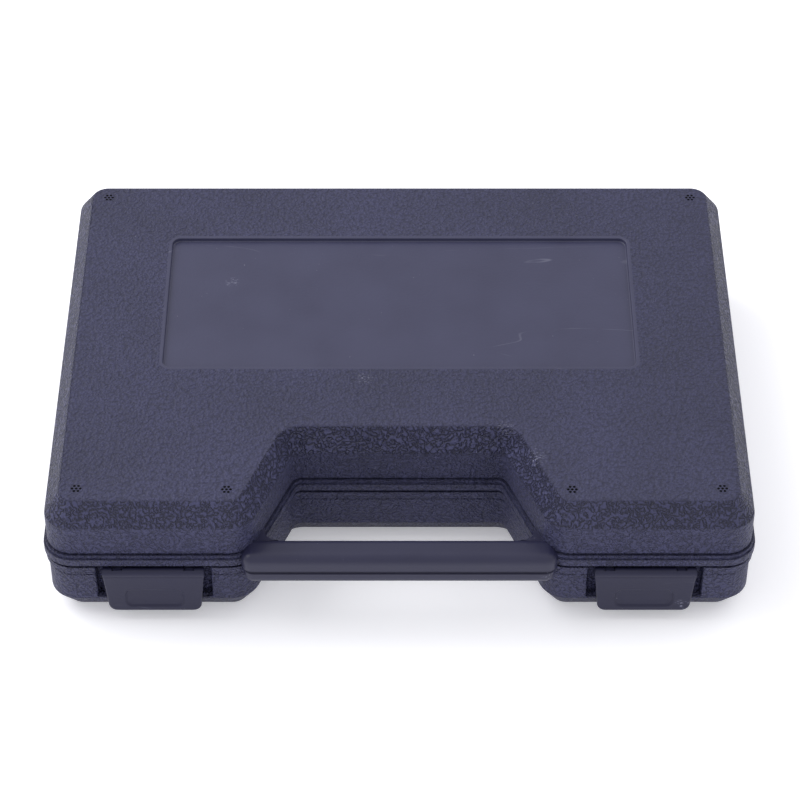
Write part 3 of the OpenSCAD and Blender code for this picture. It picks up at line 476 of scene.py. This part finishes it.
lid = piece_from(
    "lid_moulding",
    [(rings(case_outline, np.vstack([inside, outside(RIM_OUT, HALF_H - TOP_SKIN, 0.2)]))
      + [0, 0, SEAM], 0),
     (rings(panel_outline, panel_profile) + [0, 0, SEAM], 1), (handle_rings(1, 0), 2),
     (web_rings(-1, 1), 2), (web_rings(1, 1), 2)],
    [([(0, -1), (1, 0)], 0), ([(1, -1)], 1), ([(0, 0)], 0)]
    + [([(part, row)], 2) for part in (2, 3, 4) for row in (0, -1)],
    [grained, smooth, smooth_dark])
lid_parts = knuckles(1, 1) + [ear_rings(side * LATCH_X + end * EAR_X)
                              for side in (-1, 1) for end in (-1, 1)]
lid_fittings = piece_from("lid_knuckles_and_ears", [(part, 0) for part in lid_parts],
                          closed_ends(lid_parts), [smooth], flat_angle=35)
for piece in (lid, lid_fittings):
    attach(piece, "lid")
    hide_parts("lid_shell")

# ---- Base moulding ----
# The lower half: the same shell turned over, with a pocket sunk in its front wall behind each
# latch, open at the rim and stopped by a ledge, and a catch across the back of each pocket. It
# has the outer knuckles and the lower half of the handle bar.
POCKET_HALF, POCKET_FLOOR = 19.4, -83.0


def base_outline(d, depth, out):
    """The case outline with a pocket behind each latch: on the front wall's line it steps in by
    depth and back out, POCKET_HALF + out either side of the latch's middle. A depth near 0
    leaves the wall straight, with the same number of points."""
    corners = drawn_in(CASE_CORNERS, d)
    outer, mouth, back = corner_radii(d)
    half = POCKET_HALF + out
    step = np.array([[-half, 0], [-half, depth], [half, depth], [half, 0]])
    left, right = (step + [side * LATCH_X, corners[0, 1]] for side in (-1, 1))
    small = [min(0.6, depth / 2.5)] * 4
    return round_corners(np.vstack([corners[:1], left, corners[1:5], right, corners[5:]]),
                         [outer, *small, mouth, back, back, mouth, *small, outer, outer, outer], 8)


def pocketed(profile, wall_t, low):
    """Rows of (inset, depth below the seam) carried round base_outline. Above low they step in
    to the pocket's floor, wall_t behind its face; at low one row with the pocket and one
    without lie in the same plane, and the quads between them are the pocket's ledge."""
    floor = POCKET_FLOOR + wall_t + 86.1
    rows = [(d, h, floor - d if h < low else 0.02) for d, h in profile]
    steps = [i for i in range(len(rows) - 1) if (rows[i][1] < low) != (rows[i + 1][1] < low)]
    for i in reversed(steps):
        (d0, h0, _), (d1, h1, _) = rows[i], rows[i + 1]
        d = d0 + (d1 - d0) * (low - h0) / (h1 - h0)
        ledge = [(d, low, floor - d), (d, low, 0.02)]
        rows[i + 1:i + 1] = ledge if h0 < low else ledge[::-1]
    return np.stack([np.insert(base_outline(d, depth, wall_t), 2, SEAM - h, axis=1)
                     for d, h, depth in rows])


def block_rings(w, d, x, y, low, high, edge):
    """A block w by d with rounded edges, standing on low and ending at high."""
    rise = round_corners([(1.0, low), (0.0, low), (0.0, high), (1.0, high)],
                         [0.1, edge, edge, 0.1], 3, closed=False)
    return rings(lambda t: round_corners(box_corners(w - 2 * t, d - 2 * t, x, y), edge * 1.05, 3),
                 rise[(rise[:, 0] <= edge * 1.01)])


base_grid = np.concatenate([pocketed(np.vstack([inside, [[WALL_T, 0.0]]]), WALL_T, 18.0),
                            pocketed(outside(RIM_OUT - LIP_IN, HALF_H, 0.95)[1:], 0.0, 16.0)])
catches = [block_rings(17.1, 1.9, side * LATCH_X, -83.45, 11.5, 13.0, 0.3) for side in (-1, 1)]
base = piece_from(
    "base_moulding", [(base_grid, 0), (handle_rings(-1, LIP_IN), 1), (web_rings(-1, -1), 1),
                      (web_rings(1, -1), 1)],
    [([(0, 0)], 0), ([(0, -1)], 0)]
    + [([(part, row)], 1) for part in (1, 2, 3) for row in (0, -1)], [grained, smooth_dark])
base_parts = knuckles(0, -1) + catches
base_fittings = piece_from("base_knuckles_and_catches", [(part, 0) for part in base_parts],
                           closed_ends(base_parts), [smooth], flat_angle=35)
for piece in (base, base_fittings):
    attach(piece, "case_base")
    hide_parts("base_shell", "latch_pocket_left", "latch_pocket_right")

# ---- Latches ----
# Two smooth polypropylene flaps hung on steel pins under the lid's rim. Each is a plate that
# narrows towards its foot, with a shallow thumb grip, a round barrel along its top, two
# stiffening ribs and a hook behind that snaps under the base's catch.
LATCH_HALF, LATCH_LOW, LATCH_FACE = 17.1, 4.8, -89.0
smooth_latch = smooth_polypropylene("smooth latch polypropylene", "#222238", "#2a2a43",
                                    [(96.0, -89.0, 8.0, 3.0)], 0.3)


def latch_outline(x, d):
    """The plate from the front: 34.2 mm wide at the barrel and 31 mm at the foot, drawn in by
    d, with 3 mm foot corners."""
    corners = np.array([[1.6 - LATCH_HALF, LATCH_LOW], [LATCH_HALF - 1.6, LATCH_LOW],
                        [LATCH_HALF, 21.8], [-LATCH_HALF, 21.8]]) + [x, 0]
    return round_corners(drawn_in(corners, d), np.maximum([3 - d, 3 - d, 0.6 - d, 0.6 - d], 0.1), 8)


def thumb_outline(x, d):
    return round_corners(box_corners(20.6 - 2 * d, 9 - 2 * d, x, 11.1), max(3 - d, 0.4), 8)


def barrel_rings(x0, x1):
    """A stretch of the barrel behind the front skin, 1.85 mm in radius, seen along X."""
    angle = np.linspace(0, 2 * math.pi, 33)[:-1]
    circle = np.column_stack([np.cos(angle), np.sin(angle)])
    return rings(lambda d: circle * (1.85 - d) + [PIVOT_Y, PIVOT_Z],
                 [(0.2, x0), (0, x0 + 0.2), (0, x1 - 0.2), (0.2, x1)], along=0)


def skin_rings(x):
    """The barrel's front skin, 0.55 mm thick and as wide as the latch, seen along X: a ring
    segment of 1.9 mm outer radius from near the top, where it must clear the ears when the
    latch is up, round to the crease on the plate."""
    angle = math.radians(118) + np.linspace(0, 1, 17) * math.radians(77)
    arc = np.column_stack([np.cos(angle), np.sin(angle)])
    section = np.vstack([arc * 1.9, arc[::-1] * 1.35])
    middle = arc[8] * 1.6
    return rings(lambda d: section + (middle - section) * d + [PIVOT_Y, PIVOT_Z],
                 [(0.12, x - LATCH_HALF), (0, x - LATCH_HALF + 0.3),
                  (0, x + LATCH_HALF - 0.3), (0.12, x + LATCH_HALF)], along=0)


plate_profile = round_corners([(1.5, 1.8), (0, 1.8), (0, 0), (0.9, 0)], [0.1, 0.3, 0.7, 0.1], 6,
                              closed=False)[1:] + [0, LATCH_FACE]
thumb_profile = round_corners([(-0.4, 0), (0.2, 0), (0.9, 0.6), (3.0, 0.6)],
                              [0.1, 0.3, 0.5, 0.1], 5, closed=False) + [0, LATCH_FACE]
for name, side in (("latch_left", -1), ("latch_right", 1)):
    x = side * LATCH_X
    plate = rings(lambda d: latch_outline(x, d), plate_profile, along=1)
    thumb = rings(lambda d: thumb_outline(x, d), thumb_profile, along=1)
    stretches = [(-17.1, -13.8), (-10.4, 10.4), (13.8, 17.1)]
    backs = [skin_rings(x)] + [barrel_rings(x + x0, x + x1) for x0, x1 in stretches]
    backs += [block_rings(1.8, 2.2, x + end * 13.5, -86.6, 10.8, 17.9, 0.25) for end in (-1, 1)]
    backs += [block_rings(17.1, 3.6, x, -86.2, 9.7, 11.2, 0.25)]
    latch = piece_from(
        name + "_flap", [(plate, 0), (thumb, 0)] + [(part, 0) for part in backs],
        [([(0, -1), (1, 0)], 0), ([(1, -1)], 0), ([(0, 0)], 0)] + closed_ends(backs, 2),
        [smooth_latch], flat_angle=50)
    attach(latch, name)
    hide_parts(name)

# ---- Mould marks ----
# Six small rosettes of pin holes in the lid's grained face, one near each corner and one each
# side of the hand recess. Each is seven pits, one in the middle and six round it, drawn as
# near-black discs of painted shade on the face, not cut as holes.
PIT_R, MARK_R = 0.48, 1.35
MARKS = np.array([[-107.5, -75.0], [-57.5, -75.4], [57.5, -75.4], [107.5, -75.0],
                  [-107.5, 75.2], [107.5, 75.2]])


def pit_shade_disc_rings(x, y):
    """One pit, painted as shade: a dark disc ending a short pin just below the lid's top plane."""
    angle = np.arange(10) * math.pi / 5
    circle = np.column_stack([np.cos(angle), np.sin(angle)])
    return rings(lambda d: circle * (PIT_R - d) + [x, y], [(0, 49.5), (0, 49.985)])


turn = np.arange(6) * math.pi / 3
spots = np.vstack([[[0, 0]], MARK_R * np.column_stack([np.cos(turn), np.sin(turn)])])
pit_shade_discs = [pit_shade_disc_rings(*(mark + spot)) for mark in MARKS for spot in spots]
# painted shade: near-black discs stand in for the shade inside the pin holes
pit_painted_shade = smooth_polypropylene("shaded pit polypropylene", "#020203", "#040406", [], 0.05)
marks = piece_from("mould_mark_pit_shade", [(part, 0) for part in pit_shade_discs], closed_ends(pit_shade_discs), [pit_painted_shade],
                   flat_angle=50)
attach(marks, "lid")
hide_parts("lid_shell")

# ---- Foam pad ----
# A pad of grey polyethylene foam glued inside the lid, which keeps the tools down when the
# case is shut. Its cut edges are soft, and the face towards the tools is crowned by 0.7 mm.
PAD_TOP, PAD_LOW, PAD_IN, PAD_CROWN = 46.9, 37.05, 9.35, 0.7


def cut_foam():
    """Closed-cell polyethylene foam: matt charcoal, cells about 0.8 mm across that show as
    small pits, with paler cell walls."""
    material, tree = empty_material("closed-cell polyethylene foam")
    where = object_place(tree)
    cells = add_node(tree, "ShaderNodeTexVoronoi", inputs={"Scale": 1250.0},
                     links={"Vector": where}).outputs["Distance"]
    wide = noise(tree, where, 60.0, 4.0)
    tone = mixed(tree, ramp(tree, cells, 0.15, 0.7), "#202126", "#3c3d44")
    tone = mixed(tree, ramp(tree, wide, 0.45, 0.7, 0.0, 0.4), tone, "#4a4b53")
    return finish_material(material, tree, tone, ramp(tree, wide, 0.3, 0.7, 0.85, 0.95), cells,
                           0.3, 0.8, IOR=1.45)


def foam_outline(d):
    return case_outline(PAD_IN + d)


pad_edge = round_corners([(4.0, PAD_TOP), (0.0, PAD_TOP), (0.0, PAD_LOW + PAD_CROWN),
                          (9.0, PAD_LOW)],
                         [0.1, 0.8, 2.2, 0.1], 7, closed=False)
pad = piece_from("foam_pad", [(rings(foam_outline, pad_edge), 0)], [([(0, 0)], 0), ([(0, -1)], 0)],
                 [cut_foam()])
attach(pad, "lid")
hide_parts("lid_foam")

# ---- Tool tray, grips and bit racks ----
# The tray is one black moulding with a well for every tool. The two handles have grips of
# moulded rubber, and the driver bits stand in two racks of harder black plastic.


def black_moulding(name, dark, light, grain_scale, depth_mm, low, high):
    """Black thermoplastic with a spark-eroded texture: dull, even, grey where it has rubbed."""
    material, tree = empty_material(name)
    where = object_place(tree)
    grain = noise(tree, where, grain_scale, 3.0)
    wide = noise(tree, where, 40.0, 4.0)
    tone = mixed(tree, ramp(tree, wide, 0.3, 0.7), dark, light)
    rubbed = ramp(tree, noise(tree, where, 300.0, 5.0), 0.66, 0.78, 0.0, 0.35)
    tone = mixed(tree, rubbed, tone, "#5b5c62")
    return finish_material(material, tree, tone, ramp(tree, wide, 0.3, 0.7, low, high), grain,
                           depth_mm, 0.6, IOR=1.5)


def repaint(material, *nodes):
    """Gives CAD nodes that keep their own shape a new material in all their slots."""
    for node in nodes:
        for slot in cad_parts[node].material_slots:
            slot.material = material


repaint(black_moulding("black tray polypropylene", "#17171a", "#1f1f24", 1600.0, 0.12, 0.5, 0.62),
        "tool_tray")
repaint(black_moulding("black grip rubber", "#131315", "#1c1c1f", 900.0, 0.2, 0.62, 0.78),
        "ratchet_grip", "spinner_grip")
repaint(black_moulding("black rack nylon", "#0f0f12", "#17171b", 2200.0, 0.06, 0.38, 0.5),
        "bit_rack_left", "bit_rack_right")

# ---- Steel: sockets, ratchet, bars, bits, keys, pins and screws ----
# Chrome-vanadium tools are polished and chrome plated, the bits and gear are phosphated, the
# hexagon keys and the cover's screws are blackened, and the hinge and latch pins are drawn wire.


def steel(name, dark, light, low, high, along, depth_mm):
    """A steel surface: metal whose tint wanders between dark and light, with fine polishing
    marks along one axis (along = feature scales per metre in X, Y and Z) and small smears
    that dull it from roughness low to high."""
    material, tree = empty_material(name)
    where = object_place(tree)
    lines = noise(tree, add_node(tree, "ShaderNodeMapping", inputs={"Scale": along},
                                 links={"Vector": where}).outputs["Vector"], 1.0, 3.0)
    smear = noise(tree, where, 130.0, 5.0)
    tone = mixed(tree, smear, dark, light)
    rough = math_node(tree, "ADD", ramp(tree, smear, 0.35, 0.7, low, high),
                      math_node(tree, "MULTIPLY", lines, 0.06))
    return finish_material(material, tree, tone, rough, lines, depth_mm, 0.35, Metallic=1.0)


sizes = ("5", "5_5", "6", "7", "8", "9", "10", "11", "12", "13")
repaint(steel("chrome plate on turned sockets", "#bfc1c6", "#e2e4e8", 0.10, 0.22,
              (700, 700, 4000), 0.02), *("socket_%smm" % size for size in sizes))
repaint(steel("chrome plate on forged bars", "#b9bbc0", "#dcdee2", 0.14, 0.28,
              (250, 3000, 3000), 0.02), "ratchet_handle", "ratchet_cover", "spinner_shank",
        "extension_bar_long", "extension_bar_short", "tbar_rod", "tbar_head", "bit_adapter",
        "reversing_lever")
repaint(steel("phosphated tool steel", "#55565a", "#77787d", 0.32, 0.46, (900, 900, 2500), 0.03),
        "drive_gear", "ratchet_pawl",
        *("bit_%s_%s" % (kind, n) for kind, ns in
          (("cross", "123"), ("slot", "456"), ("hex", "345"), ("star", ("15", "20", "25")))
          for n in ns))
repaint(steel("blackened steel", "#222226", "#37373c", 0.30, 0.44, (400, 3000, 3000), 0.02),
        "cover_screws", "hex_key_2mm", "hex_key_3mm", "hex_key_4mm")
repaint(steel("drawn steel wire", "#9a9ca0", "#c4c6ca", 0.22, 0.34, (120, 4000, 4000), 0.015),
        "hinge_pin_left", "hinge_pin_right", "latch_pin_left", "latch_pin_right",
        "gear_detent_ball")
